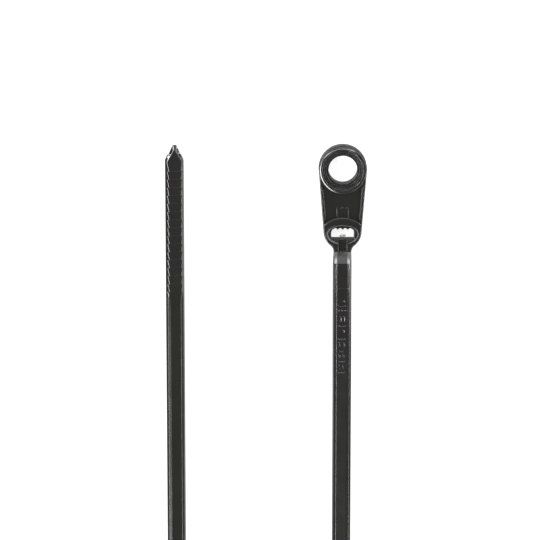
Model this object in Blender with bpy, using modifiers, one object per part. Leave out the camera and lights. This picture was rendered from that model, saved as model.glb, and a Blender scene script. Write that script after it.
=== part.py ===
"""Cable tie with a mounting ring, lying on a bench folded into a hairpin.

The tie is moulded straight, in one shot, out of black nylon: a ring for a screw, a web, the slot housing
that the tail threads through, a bevelled strap and a pointed tail with finger grips. A stainless strip set
in the neck side of the slot is the locking barb. Everything is modelled in that straight, as-moulded state
and then laid on the resting route, which turns the strap on its edge where it goes round the bend.

Straight frame: the screw ring is centred on the origin, the strap runs along -Y, the underside is z = 0 and
+Z is the bevelled upper side. "Station" means the distance along the strap from the ring's centre.
"""

import math

import bmesh
import bpy
import numpy as np

MM = 0.001

# Mounting ring: a boss with a dished seat for the screw's head round a plain bore
RING_RADIUS = 5.85 * MM
RING_HEIGHT = 5.0 * MM
RING_EDGE = 0.4 * MM
BORE_RADIUS = 3.6 * MM
SEAT_LEDGE = 0.55 * MM
SEAT_LEDGE_HEIGHT = 3.95 * MM
SEAT_STEP = 0.25 * MM
RING_LIP = 0.65 * MM
SEAT_FALL = 0.25 * MM
GATE_RADIUS = 0.45 * MM
GATE_PROUD = 0.15 * MM
GATE_LOW = 1.5 * MM
GATE_LENGTH = 2.0 * MM

# Web between the ring and the slot housing, with a sunk panel and a small raised pad
WEB_HEIGHT = 3.5 * MM
WEB_EDGE = 0.3 * MM
WEB_MARGIN = 0.2 * MM
PANEL_DEPTH = 0.6 * MM
PANEL_RAIL = 0.75 * MM
PAD_WIDTH = 2.9 * MM
PAD_LENGTH = 2.9 * MM
PAD_PROUD = 0.22 * MM
PAD_STATION = 11.3 * MM

# Slot housing: a round body, a raised shoulder, and an arched collar round the slot
HOUSING_STATION = 15.7 * MM
HOUSING_RADIUS = 4.8 * MM
SHOULDER_STATION = 18.7 * MM
SHOULDER_RADIUS = 6.6 * MM
SHOULDER_HEIGHT = 4.1 * MM
SHOULDER_INSET = 0.12 * MM
COLLAR_STATION = 16.3 * MM
COLLAR_HALF_WIDTH = 4.05 * MM
COLLAR_HALF_LENGTH = 2.6 * MM
COLLAR_HEIGHT = 4.75 * MM
COLLAR_EDGE = 0.45 * MM

# Slot that the tail threads through, with guide ribs opposite the barb
SLOT_START = 14.7 * MM
SLOT_LENGTH = 3.1 * MM
SLOT_SIDE_CLEARANCE = 0.48 * MM
SLOT_CORNER = 1.2 * MM
RIB_RADIUS = 0.33 * MM
RIB_MARGIN = 0.1 * MM
RIB_COUNT = 3
LEAD_IN = 0.4 * MM
LEAD_IN_DEPTH = 0.8 * MM

# Locking barb, a bent-up steel strip in a slit of the neck
BARB_WIDTH = 1.5 * MM
BARB_THICKNESS = 0.3 * MM
BARB_PROUD = 1.6 * MM
BARB_SET_IN = 1.8 * MM
BARB_ANGLE = math.radians(35)
BARB_HEIGHT = 2.2 * MM
BARB_CLEARANCE = 0.2 * MM
BARB_EDGE_SHARE = 0.35

# Neck, which carries the housing's depth down to the strap
NECK_WIDTH = 4.5 * MM
NECK_FILLET = 2.0 * MM
NECK_HEIGHT = 4.0 * MM
NECK_END = 20.8 * MM
RAMP_LENGTH = 3.7 * MM
NECK_OVERLAP = 1.8 * MM
NECK_STEP = 0.1 * MM
WINDOW_WIDTH = 2.2 * MM
WINDOW_DEPTH = 0.8 * MM

# Strap section, and the length of each leg of the hairpin
STRAP_WIDTH = 4.8 * MM
STRAP_THICKNESS = 1.3 * MM
UNDERSIDE_CHAMFER = 0.15 * MM
SIDE_HEIGHT = 0.5 * MM
BEVEL_FOOT_HEIGHT = 1.0 * MM
BEVEL_FOOT_INSET = 0.42 * MM
FLAT_WIDTH = 2.6 * MM
HEAD_LEG = 142.6 * MM
TIP_AHEAD = 6.1 * MM
BEND_RADIUS = 21.1 * MM

# Finger grips near the tail: saw teeth whose steep sides face the head
GRIP_COUNT = 16
GRIP_PITCH = 2.065 * MM
GRIP_FROM_TIP = 4.8 * MM
GRIP_LOW = 1.0 * MM
GRIP_STEEP_RUN = 0.12 * MM
GRIP_CREST_WIDTH = 3.2 * MM
GRIP_ROOT_WIDTH = 3.75 * MM
GRIP_FOOT_HEIGHT = 0.85 * MM
GRIP_FOOT_INSET = 0.3 * MM
GRIP_BLEND = 1.8 * MM

# Pointed tip: a thin tongue on top, with the strap's full depth starting behind it
TIP_LENGTH = 4.3 * MM
NOSE_WIDTH = 0.6 * MM
NOSE_LENGTH = 0.35 * MM
NOSE_THICKNESS = 0.4 * MM
NOSE_PANEL_WIDTH = 0.3 * MM
TONGUE_LENGTH = 2.4 * MM
TONGUE_STEP = 0.15 * MM
TONGUE_UNDERSIDE = 0.45 * MM
TONGUE_FLARE = 0.4 * MM
TONGUE_SIDE_SHARE = 0.3
TONGUE_FOOT_SHARE = 0.65
TIP_PANEL_START = 1.4 * MM

# How it lies: the head flat, each leg's upper face leaning to the inside, and the tip lifted
HEAD_LEAN_ANGLE = math.radians(9)
TAIL_LEAN_ANGLE = math.radians(13)
TWIST_LENGTH = 45 * MM
TWIST_INTO_BEND = 4 * MM
HEAD_FLAT_LENGTH = 38 * MM
TIP_LIFT = 1.0 * MM
TIP_LIFT_LENGTH = 12 * MM

# Faceting
ROUND_STEPS = 64
SPAN = 7 * MM
TWIST_SPAN = 2.5 * MM
BEND_STEPS = 60
RAMP_STEPS = 6
FILLET_STEPS = 3
OVERRUN = 1.0 * MM
MERGE = 1e-7
HEIGHT_DECIMALS = 8

WEB_RADIUS = RING_RADIUS + WEB_MARGIN
RAMP_END = NECK_END + RAMP_LENGTH
SLOT_END = SLOT_START + SLOT_LENGTH
BEND_END = HEAD_LEG + math.pi * BEND_RADIUS
TAIL_LEG = HEAD_LEG + TIP_AHEAD
TIP_STATION = BEND_END + TAIL_LEG


def clear_scene():
    for obj in list(bpy.data.objects):
        bpy.data.objects.remove(obj, do_unlink=True)


def new_collection(name):
    collection = bpy.data.collections.new(name)
    bpy.context.scene.collection.children.link(collection)
    return collection


def smooth_step(t):
    """0 below 0, 1 above 1, and 3t^2 - 2t^3 between, which starts and ends level."""
    t = np.clip(t, 0.0, 1.0)
    return t * t * (3.0 - 2.0 * t)


def arc(centre, radius, start_deg, end_deg, steps):
    """Points on a circle from one angle to another, both ends included."""
    angles = np.radians(np.linspace(start_deg, end_deg, steps + 1))
    return [(centre[0] + radius * math.cos(a), centre[1] + radius * math.sin(a)) for a in angles]


def mirrored(right_side):
    """A closed outline from its right half, listed from the -Y end to the +Y end."""
    return right_side + [(-x, y) for x, y in reversed(right_side)]


def evaluated_copy(obj, name, collection):
    """The object's final mesh as a new object in its place, with the caps welded and the source removed."""
    bpy.context.view_layer.update()
    graph = bpy.context.evaluated_depsgraph_get()
    mesh = bpy.data.meshes.new_from_object(obj.evaluated_get(graph))
    mesh.name = name
    welded = bmesh.new()
    welded.from_mesh(mesh)
    bmesh.ops.transform(welded, matrix=obj.matrix_world, verts=welded.verts)
    for vert in welded.verts:
        # Flat faces of joined shapes have to lie at exactly the same height
        vert.co.z = round(vert.co.z, HEIGHT_DECIMALS)
    bmesh.ops.remove_doubles(welded, verts=welded.verts, dist=MERGE)
    bmesh.ops.recalc_face_normals(welded, faces=welded.faces)
    welded.to_mesh(mesh)
    welded.free()
    copy = bpy.data.objects.new(name, mesh)
    collection.objects.link(copy)
    bpy.data.objects.remove(obj, do_unlink=True)
    return copy


def outline_block(name, outline, low, high, edge, collection):
    """A flat outline as a filled 2D curve, thickened from low to high, with its edges rounded by edge."""
    curve = bpy.data.curves.new(name + "_outline", "CURVE")
    curve.dimensions = "2D"
    curve.fill_mode = "BOTH"
    spline = curve.splines.new("POLY")
    spline.points.add(len(outline) - 1)
    for point, (x, y) in zip(spline.points, outline):
        point.co = (x, y, 0.0, 1.0)
    spline.use_cyclic_u = True
    curve.extrude = (high - low) / 2 - edge
    curve.bevel_depth = edge
    curve.offset = -edge
    curve.bevel_resolution = 1
    obj = bpy.data.objects.new(name + "_curve", curve)
    obj.location.z = (low + high) / 2
    collection.objects.link(obj)
    return evaluated_copy(obj, name, collection)


def turned(name, profile, collection):
    """A body of revolution about Z: (radius, height) points down the outer side, top to bottom."""
    mesh = bpy.data.meshes.new(name + "_profile")
    edges = [(i, i + 1) for i in range(len(profile) - 1)]
    mesh.from_pydata([(r, 0.0, z) for r, z in profile], edges, [])
    obj = bpy.data.objects.new(name + "_profile", mesh)
    collection.objects.link(obj)
    screw = obj.modifiers.new("turn", "SCREW")
    screw.axis = "Z"
    screw.steps = ROUND_STEPS
    screw.render_steps = ROUND_STEPS
    screw.use_merge_vertices = True
    screw.merge_threshold = MERGE
    return evaluated_copy(obj, name, collection)


def loft(name, sections, collection):
    """A closed skin through sections of equal point counts, each rows of (x, y, z), with flat ends."""
    count, points = sections.shape[0], sections.shape[1]
    mesh = bpy.data.meshes.new(name)
    faces = []
    for i in range(count - 1):
        for j in range(points):
            k = (j + 1) % points
            near, far = i * points, (i + 1) * points
            faces.append((near + j, near + k, far + k, far + j))
    faces.append(tuple(reversed(range(points))))
    faces.append(tuple((count - 1) * points + j for j in range(points)))
    mesh.from_pydata(sections.reshape(-1, 3).tolist(), [], faces)
    shape = bmesh.new()
    shape.from_mesh(mesh)
    bmesh.ops.recalc_face_normals(shape, faces=shape.faces)
    shape.to_mesh(mesh)
    shape.free()
    obj = bpy.data.objects.new(name, mesh)
    collection.objects.link(obj)
    return obj


def boolean(target, operation, tool):
    """Adds an exact Boolean to target and hides the tool, which stays as a construction shape."""
    modifier = target.modifiers.new(operation.lower() + "_" + tool.name, "BOOLEAN")
    modifier.operation = operation
    modifier.solver = "EXACT"
    modifier.object = tool
    tool.hide_render = True
    tool.display_type = "WIRE"


def rounded_corner(r, z, radius, top):
    """Profile points that round a turned body's outer corner at (r, z)."""
    start, end = (90, 0) if top else (0, -90)
    centre = (r - radius, z - radius if top else z + radius)
    return arc(centre, radius, start, end, FILLET_STEPS)


def side_normal():
    """Angle below the X axis of the web's sides, which touch its round end and the housing."""
    return math.degrees(math.asin((WEB_RADIUS - HOUSING_RADIUS) / HOUSING_STATION))


def web_outline(inset):
    """Ring end, tapering sides, round housing and hollow fillets into the neck, drawn inset all round."""
    tilt = side_normal()
    neck_half = NECK_WIDTH / 2
    fillet_x = neck_half + NECK_FILLET
    reach = HOUSING_RADIUS + NECK_FILLET
    fillet_fall = math.sqrt(reach**2 - fillet_x**2)
    fillet_centre = (fillet_x, -HOUSING_STATION - fillet_fall)
    meeting = math.degrees(math.atan2(fillet_fall, fillet_x))
    neck_side = arc(fillet_centre, NECK_FILLET + inset, 180, 180 - meeting, 6)
    housing_side = arc((0, -HOUSING_STATION), HOUSING_RADIUS - inset, -meeting, -tilt, 12)
    ring_side = arc((0, 0), WEB_RADIUS - inset, -tilt, 90, 20)
    return mirrored(neck_side + housing_side + ring_side[:-1])


def make_web(cutters):
    web = outline_block("web", web_outline(0.0), 0.0, WEB_HEIGHT, WEB_EDGE, cutters)
    tilt = math.radians(side_normal())
    inner = WEB_RADIUS - PANEL_RAIL
    far = HOUSING_RADIUS - PANEL_RAIL
    panel = mirrored(
        [
            (far * math.cos(tilt), -HOUSING_STATION),
            (inner * math.cos(tilt), -inner * math.sin(tilt)),
        ]
    )
    floor = WEB_HEIGHT - PANEL_DEPTH
    sink = outline_block("panel_sink", panel, floor, WEB_HEIGHT + OVERRUN, 0.0, cutters)
    boolean(web, "DIFFERENCE", sink)
    half = PAD_WIDTH / 2
    pad_top = -PAD_STATION + PAD_LENGTH / 2
    pad_outline = mirrored([(half, pad_top - PAD_LENGTH), (half, pad_top)])
    pad = outline_block("pad", pad_outline, floor - OVERRUN, floor + PAD_PROUD, PAD_PROUD / 2, cutters)
    boolean(web, "UNION", pad)
    return web


def make_ring(cutters):
    outside = rounded_corner(RING_RADIUS, RING_HEIGHT, RING_EDGE, True)
    underside = rounded_corner(RING_RADIUS, 0.0, WEB_EDGE, False)
    profile = [(0.0, RING_HEIGHT)] + outside + underside + [(0.0, 0.0)]
    return turned("ring", profile, cutters)


def make_bore(cutters):
    """The screw's bore, a narrow ledge, a small step, and the dished seat up to the ring's lip."""
    ledge = BORE_RADIUS + SEAT_LEDGE
    lip = RING_RADIUS - RING_LIP
    profile = [
        (0.0, RING_HEIGHT + OVERRUN),
        (lip, RING_HEIGHT + OVERRUN),
        (lip, RING_HEIGHT - SEAT_FALL),
        (ledge, SEAT_LEDGE_HEIGHT + SEAT_STEP),
        (ledge, SEAT_LEDGE_HEIGHT),
        (BORE_RADIUS, SEAT_LEDGE_HEIGHT),
        (BORE_RADIUS, -OVERRUN),
        (0.0, -OVERRUN),
    ]
    return turned("bore", profile, cutters)


def make_gate(cutters):
    """The trimmed stub where the nylon entered the mould, on the web's round end."""
    centre = (0.0, WEB_RADIUS + GATE_PROUD - GATE_RADIUS)
    outline = arc(centre, GATE_RADIUS, 0, 345, 23)
    return outline_block("gate", outline, GATE_LOW, GATE_LOW + GATE_LENGTH, 0.0, cutters)


def make_shoulder(cutters):
    """The housing's raised round shoulder, trimmed to the body's sides."""
    disc = arc((0, -SHOULDER_STATION), SHOULDER_RADIUS, 0, 360 - 360 / ROUND_STEPS, ROUND_STEPS - 1)
    low = WEB_HEIGHT - 2 * PANEL_DEPTH
    shoulder = outline_block("shoulder", disc, low, SHOULDER_HEIGHT, WEB_EDGE, cutters)
    limit = outline_block(
        "shoulder_limit", web_outline(SHOULDER_INSET), 0.0, RING_HEIGHT, 0.0, cutters
    )
    boolean(shoulder, "INTERSECT", limit)
    return shoulder


def make_collar(cutters):
    angles = np.linspace(0, 2 * math.pi, ROUND_STEPS, endpoint=False)
    outline = [
        (COLLAR_HALF_WIDTH * math.cos(a), -COLLAR_STATION + COLLAR_HALF_LENGTH * math.sin(a))
        for a in angles
    ]
    return outline_block("collar", outline, BARB_HEIGHT, COLLAR_HEIGHT, COLLAR_EDGE, cutters)


def slot_outline(grow):
    """D shape: straight on the neck side, where it never grows, round corners and ribs on the ring side."""
    half = STRAP_WIDTH / 2 + SLOT_SIDE_CLEARANCE + grow
    near = -SLOT_START + grow
    corner = arc((half - SLOT_CORNER, near - SLOT_CORNER), SLOT_CORNER, 0, 90, 6)
    ribs = []
    outermost = half - SLOT_CORNER - RIB_RADIUS - RIB_MARGIN
    for x in np.linspace(outermost, -outermost, RIB_COUNT):
        ribs += arc((x, near), RIB_RADIUS, 0, -180, 5)
    left_corner = [(-x, y) for x, y in reversed(corner)]
    return [(half, -SLOT_END)] + corner + ribs + left_corner + [(-half, -SLOT_END)]


def make_slot(cutters):
    """The slot, straight for most of its depth and a funnel on the side where the tail enters."""
    past = LEAD_IN * (1 + OVERRUN / LEAD_IN_DEPTH)
    levels = [(-OVERRUN, past), (LEAD_IN_DEPTH, 0.0), (RING_HEIGHT + OVERRUN, 0.0)]
    sections = np.array([[(x, y, z) for x, y in slot_outline(grow)] for z, grow in levels])
    return loft("slot", sections, cutters)


def slanted_strip(name, width, thickness, back, front, front_share, collection):
    """A flat strip along the barb's slope, from back to front of the slot's wall, thinner at its front."""
    along = np.array([0.0, math.cos(BARB_ANGLE), math.sin(BARB_ANGLE)])
    up = np.array([0.0, -math.sin(BARB_ANGLE), math.cos(BARB_ANGLE)])
    across = np.array([1.0, 0.0, 0.0])
    wall = np.array([0.0, -SLOT_END, BARB_HEIGHT])
    sections = []
    for reach, share in ((-back, 1.0), (front - thickness, 1.0), (front, front_share)):
        top = thickness / 2
        low = top - thickness * share
        corners = ((-1, low), (1, low), (1, top), (-1, top))
        sections.append([wall + along * reach + across * s * width / 2 + up * h for s, h in corners])
    return loft(name, np.array(sections), collection)


def strap_section(station, widths, heights):
    """Ten points round the strap: underside, chamfers, sides, outer slopes, bevels and the flat top."""
    under, side, foot, flat = (w / 2 for w in widths)
    base, side_top, foot_top, top = heights
    c = UNDERSIDE_CHAMFER
    half = [
        (under - c, base),
        (under, base + c),
        (side, side_top),
        (foot, foot_top),
        (flat, top),
    ]
    points = half + [(-x, z) for x, z in reversed(half)]
    return [(x, -station, z) for x, z in points]


PLAIN_WIDTHS = (STRAP_WIDTH, STRAP_WIDTH, STRAP_WIDTH - 2 * BEVEL_FOOT_INSET, FLAT_WIDTH)
PLAIN_HEIGHTS = (0.0, SIDE_HEIGHT, BEVEL_FOOT_HEIGHT, STRAP_THICKNESS)


def neck_sections():
    """The neck keeps the strap's bevels while it falls from the housing's depth to the strap's."""
    rise = NECK_HEIGHT - STRAP_THICKNESS
    sections = []
    for share in [-NECK_OVERLAP / RAMP_LENGTH] + list(np.linspace(0.0, 1.0, RAMP_STEPS + 1)):
        fall = max(share, 0.0)
        # Rounded at both ends: half way between a straight ramp and a smooth step
        eased = (fall + float(smooth_step(fall))) / 2
        lift = rise * (1.0 - eased)
        narrow = (STRAP_WIDTH - NECK_WIDTH) * (1.0 - eased)
        widths = tuple(w - narrow for w in PLAIN_WIDTHS[:3]) + (FLAT_WIDTH,)
        # The neck's underside is a hair above the housing's, so that it never drags on a panel
        heights = (NECK_STEP * (1.0 - eased),) + tuple(h + lift for h in PLAIN_HEIGHTS[1:])
        sections.append(strap_section(NECK_END + share * RAMP_LENGTH, widths, heights))
    return sections


def plain_sections():
    """The strap's plain length, with stations close together only where it twists or bends."""
    grip_end = TIP_STATION - GRIP_FROM_TIP - GRIP_COUNT * GRIP_PITCH - GRIP_BLEND
    twist_in = HEAD_LEG + TWIST_INTO_BEND - TWIST_LENGTH
    twist_out = BEND_END - TWIST_INTO_BEND + TWIST_LENGTH
    stops = [
        (RAMP_END, twist_in, SPAN),
        (twist_in, HEAD_LEG, TWIST_SPAN),
        (HEAD_LEG, BEND_END, math.pi * BEND_RADIUS / BEND_STEPS),
        (BEND_END, twist_out, TWIST_SPAN),
        (twist_out, grip_end, SPAN),
    ]
    sections = []
    for start, end, span in stops:
        count = max(1, round((end - start) / span))
        for station in np.linspace(start, end, count + 1)[1:]:
            sections.append(strap_section(station, PLAIN_WIDTHS, PLAIN_HEIGHTS))
    return sections


def grip_sections():
    """Saw teeth: each rises from its low end at the tip side to a crest, then drops steeply to the head."""
    foot = STRAP_WIDTH - 2 * GRIP_FOOT_INSET
    crest = (STRAP_WIDTH, STRAP_WIDTH, foot, GRIP_CREST_WIDTH)
    root = (STRAP_WIDTH, STRAP_WIDTH, foot, GRIP_ROOT_WIDTH)
    crest_heights = (0.0, SIDE_HEIGHT, GRIP_FOOT_HEIGHT, STRAP_THICKNESS)
    root_heights = (0.0, SIDE_HEIGHT, GRIP_FOOT_HEIGHT, GRIP_LOW)
    sections = []
    for i in range(GRIP_COUNT, 0, -1):
        tooth = TIP_STATION - GRIP_FROM_TIP - i * GRIP_PITCH
        sections.append(strap_section(tooth, root, root_heights))
        sections.append(strap_section(tooth + GRIP_STEEP_RUN, crest, crest_heights))
    end = TIP_STATION - GRIP_FROM_TIP
    sections.append(strap_section(end, root, root_heights))
    return sections


def tip_sections():
    """The point: full depth up to the tongue's step, then a thin pointed tongue with a blunt nose."""
    sections = []
    nose_top = TONGUE_UNDERSIDE + NOSE_THICKNESS
    step = TONGUE_LENGTH + TONGUE_STEP
    # Distances from the apex, from the grips outwards
    for place in (TIP_LENGTH, step, TONGUE_LENGTH, TIP_PANEL_START, NOSE_LENGTH, 0.0):
        taper = (place - NOSE_LENGTH) / (TIP_LENGTH - NOSE_LENGTH)
        side = 2 * NOSE_WIDTH + (STRAP_WIDTH - 2 * NOSE_WIDTH) * taper if taper >= 0.0 else NOSE_WIDTH
        foot = side * (1 - 2 * GRIP_FOOT_INSET / STRAP_WIDTH)
        opening = max(0.0, (place - TIP_PANEL_START) / (TIP_LENGTH - TIP_PANEL_START))
        flat = NOSE_PANEL_WIDTH + (GRIP_ROOT_WIDTH - NOSE_PANEL_WIDTH) * opening
        top = nose_top + (GRIP_LOW - nose_top) * place / TIP_LENGTH
        if place > TONGUE_LENGTH:
            under = min(STRAP_WIDTH, side + TONGUE_FLARE)
            heights = (0.0, SIDE_HEIGHT, GRIP_FOOT_HEIGHT, top)
        else:
            under = side
            chamfer_top = TONGUE_UNDERSIDE + UNDERSIDE_CHAMFER
            side_top = chamfer_top + TONGUE_SIDE_SHARE * (top - chamfer_top)
            foot_top = chamfer_top + TONGUE_FOOT_SHARE * (top - chamfer_top)
            heights = (TONGUE_UNDERSIDE, side_top, foot_top, top)
        sections.append(strap_section(TIP_STATION - place, (under, side, foot, flat), heights))
    return sections


def make_strap(cutters):
    sections = neck_sections() + plain_sections() + grip_sections() + tip_sections()
    return loft("strap", np.array(sections), cutters)


def make_window(cutters):
    """The window in the neck's top, over the barb and open to the slot."""
    half = WINDOW_WIDTH / 2
    outline = mirrored([(half, -NECK_END), (half, -SLOT_START - SLOT_LENGTH / 2)])
    return outline_block(
        "neck_window", outline, NECK_HEIGHT - WINDOW_DEPTH, RING_HEIGHT + OVERRUN, 0.0, cutters
    )


def route(station):
    """The resting route in plan, leg, half circle and leg: its points and their outward sides."""
    turn = np.clip((station - HEAD_LEG) / BEND_RADIUS, 0.0, math.pi)
    before = np.minimum(station, HEAD_LEG)
    after = np.maximum(station - BEND_END, 0.0)
    x = BEND_RADIUS * np.cos(turn)
    y = -before - BEND_RADIUS * np.sin(turn) + after
    points = np.stack([x, y, np.zeros_like(x)], axis=-1)
    outward = np.stack([np.cos(turn), -np.sin(turn), np.zeros_like(x)], axis=-1)
    return points, outward


def lean(station):
    """Lean of the upper face to the inside: none at the head, a quarter turn round the bend."""
    # The wide head lies flat, and the strap takes on its lean over the length that follows the ramp
    head_leg = HEAD_LEAN_ANGLE * smooth_step((station - RAMP_END) / HEAD_FLAT_LENGTH)
    into = smooth_step((station - HEAD_LEG - TWIST_INTO_BEND) / TWIST_LENGTH + 1.0)
    out_of = smooth_step((BEND_END - TWIST_INTO_BEND + TWIST_LENGTH - station) / TWIST_LENGTH)
    on_edge = math.pi / 2
    middle = (HEAD_LEG + BEND_END) / 2
    head_side = head_leg + (on_edge - head_leg) * into
    tail_side = TAIL_LEAN_ANGLE + (on_edge - TAIL_LEAN_ANGLE) * out_of
    return np.where(station < middle, head_side, tail_side)


def lay_down(points):
    """Carries points from the straight frame to the resting route, lowest edge on the bench."""
    station = -points[:, 1]
    spine, outward = route(station)
    angle = lean(station)
    cosine, sine = np.cos(angle)[:, None], np.sin(angle)[:, None]
    vertical = np.array([[0.0, 0.0, 1.0]])
    across = cosine * outward + sine * vertical
    upper = cosine * vertical - sine * outward
    mid = STRAP_THICKNESS / 2
    height = STRAP_WIDTH / 2 * np.sin(angle) + mid * np.cos(angle)
    curl = np.maximum(0.0, (station - TIP_STATION) / TIP_LIFT_LENGTH + 1.0)
    height = height + TIP_LIFT * curl**2
    return spine + across * points[:, :1] + upper * (points[:, 2:] - mid) + vertical * height[:, None]


def rest_points(obj):
    """The object's evaluated mesh and its points on the resting route."""
    bpy.context.view_layer.update()
    graph = bpy.context.evaluated_depsgraph_get()
    mesh = bpy.data.meshes.new_from_object(obj.evaluated_get(graph))
    flat = np.empty(len(mesh.vertices) * 3)
    mesh.vertices.foreach_get("co", flat)
    return mesh, lay_down(flat.reshape(-1, 3))


def nylon():
    material = bpy.data.materials.new("black_nylon")
    material.use_nodes = True
    shader = material.node_tree.nodes["Principled BSDF"]
    shader.inputs["Base Color"].default_value = (0.022, 0.021, 0.02, 1.0)
    shader.inputs["Roughness"].default_value = 0.34
    shader.inputs["Metallic"].default_value = 0.0
    return material


def barb_steel():
    material = bpy.data.materials.new("barb_steel")
    material.use_nodes = True
    shader = material.node_tree.nodes["Principled BSDF"]
    shader.inputs["Base Color"].default_value = (0.62, 0.61, 0.58, 1.0)
    shader.inputs["Roughness"].default_value = 0.3
    shader.inputs["Metallic"].default_value = 1.0
    return material


def finish(name, mesh, points, material, collection):
    mesh.name = name
    mesh.vertices.foreach_set("co", points.astype(np.float32).ravel())
    mesh.materials.clear()
    mesh.materials.append(material)
    mesh.shade_smooth()
    mesh.set_sharp_from_angle(angle=math.radians(24))
    mesh.update()
    obj = bpy.data.objects.new(name, mesh)
    collection.objects.link(obj)
    return obj


def main():
    clear_scene()
    parts = new_collection("mounting_hole_cable_tie")
    cutters = new_collection("cutters")
    moulding = make_web(cutters)
    for piece in (make_ring(cutters), make_gate(cutters), make_shoulder(cutters)):
        boolean(moulding, "UNION", piece)
    boolean(moulding, "UNION", make_strap(cutters))
    boolean(moulding, "UNION", make_collar(cutters))
    pocket = slanted_strip(
        "barb_pocket",
        BARB_WIDTH + 2 * BARB_CLEARANCE,
        BARB_THICKNESS + 2 * BARB_CLEARANCE,
        BARB_SET_IN + BARB_CLEARANCE,
        OVERRUN,
        1.0,
        cutters,
    )
    for cutter in (make_bore(cutters), make_slot(cutters), make_window(cutters), pocket):
        boolean(moulding, "DIFFERENCE", cutter)
    moulding.hide_render = True
    moulding.display_type = "WIRE"
    barb = slanted_strip(
        "barb_strip", BARB_WIDTH, BARB_THICKNESS, BARB_SET_IN, BARB_PROUD, BARB_EDGE_SHARE, cutters
    )
    barb.hide_render = True
    barb.display_type = "WIRE"
    tie_mesh, tie_points = rest_points(moulding)
    barb_mesh, barb_points = rest_points(barb)
    low, high = tie_points.min(axis=0), tie_points.max(axis=0)
    footprint_centre = np.array([(low[0] + high[0]) / 2, (low[1] + high[1]) / 2, low[2]])
    finish("tie_moulding", tie_mesh, tie_points - footprint_centre, nylon(), parts)
    finish("locking_barb", barb_mesh, barb_points - footprint_centre, barb_steel(), parts)


main()
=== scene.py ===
import math

import bpy
import numpy as np
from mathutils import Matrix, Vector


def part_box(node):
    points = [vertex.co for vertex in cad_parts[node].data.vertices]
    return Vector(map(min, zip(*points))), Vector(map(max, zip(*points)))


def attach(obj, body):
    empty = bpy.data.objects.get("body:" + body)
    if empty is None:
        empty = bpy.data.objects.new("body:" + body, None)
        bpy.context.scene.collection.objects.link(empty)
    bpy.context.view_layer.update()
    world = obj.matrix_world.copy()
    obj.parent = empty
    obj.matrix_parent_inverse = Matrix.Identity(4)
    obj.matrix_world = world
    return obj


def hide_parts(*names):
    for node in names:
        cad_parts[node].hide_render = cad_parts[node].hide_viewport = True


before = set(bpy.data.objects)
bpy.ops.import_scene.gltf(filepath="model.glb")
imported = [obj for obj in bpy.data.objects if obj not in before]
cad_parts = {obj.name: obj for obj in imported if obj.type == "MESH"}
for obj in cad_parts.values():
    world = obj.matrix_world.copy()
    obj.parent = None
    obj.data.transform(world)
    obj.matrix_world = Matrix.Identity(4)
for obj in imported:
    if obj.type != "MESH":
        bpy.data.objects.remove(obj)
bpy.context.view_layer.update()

# Screw ring
# The tie's fixing end, moulded in one shot with all the rest out of black nylon. A dished seat takes the
# screw's head, the bore goes right through, and the stub of the moulding gate is on the far side.
MM = 0.001
RING_RADIUS, RING_HEIGHT = 5.85 * MM, 5.0 * MM
WEB_RADIUS, WEB_HEIGHT = 6.05 * MM, 3.5 * MM
BORE_RADIUS = 3.6 * MM
LEDGE_RADIUS, LEDGE_HEIGHT = 4.15 * MM, 3.95 * MM
LIP_RADIUS, SEAT_HEIGHT = 5.1 * MM, 4.5 * MM
LIP_BEVEL, LIP_BEVEL_DROP = 0.4 * MM, 0.13 * MM
SEAT_RING_RADIUS, SEAT_RING_STEP = 4.6 * MM, 0.07 * MM
GATE_HALF_ANGLE, GATE_PROUD = math.radians(4.3), 0.15 * MM
GATE_LOW, GATE_HIGH, GATE_EASE = 1.5 * MM, 3.5 * MM, 0.1 * MM

STRAP_WIDTH, STRAP_THICKNESS = 4.8 * MM, 1.3 * MM
HEAD_LEG, TAIL_LEG, BEND_RADIUS = 142.6 * MM, 148.7 * MM, 21.1 * MM
BEND_END = HEAD_LEG + math.pi * BEND_RADIUS
TIP_STATION = BEND_END + TAIL_LEG
HEAD_LEAN, TAIL_LEAN = math.radians(9), math.radians(13)
TWIST_LENGTH, TWIST_INTO_BEND = 45 * MM, 4 * MM
RAMP_END, HEAD_FLAT_LENGTH = 24.5 * MM, 38 * MM
TIP_LIFT, TIP_LIFT_LENGTH = 1.0 * MM, 12 * MM
# A wall counts as upright where its normal climbs by less than the first, and not at all past the second
LEVEL_NORMAL, STEEP_NORMAL = 0.3, 0.6


def smooth(t):
    """0 below 0 and 1 above 1, and 3t^2 - 2t^3 between."""
    t = np.clip(t, 0.0, 1.0)
    return t * t * (3.0 - 2.0 * t)


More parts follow.
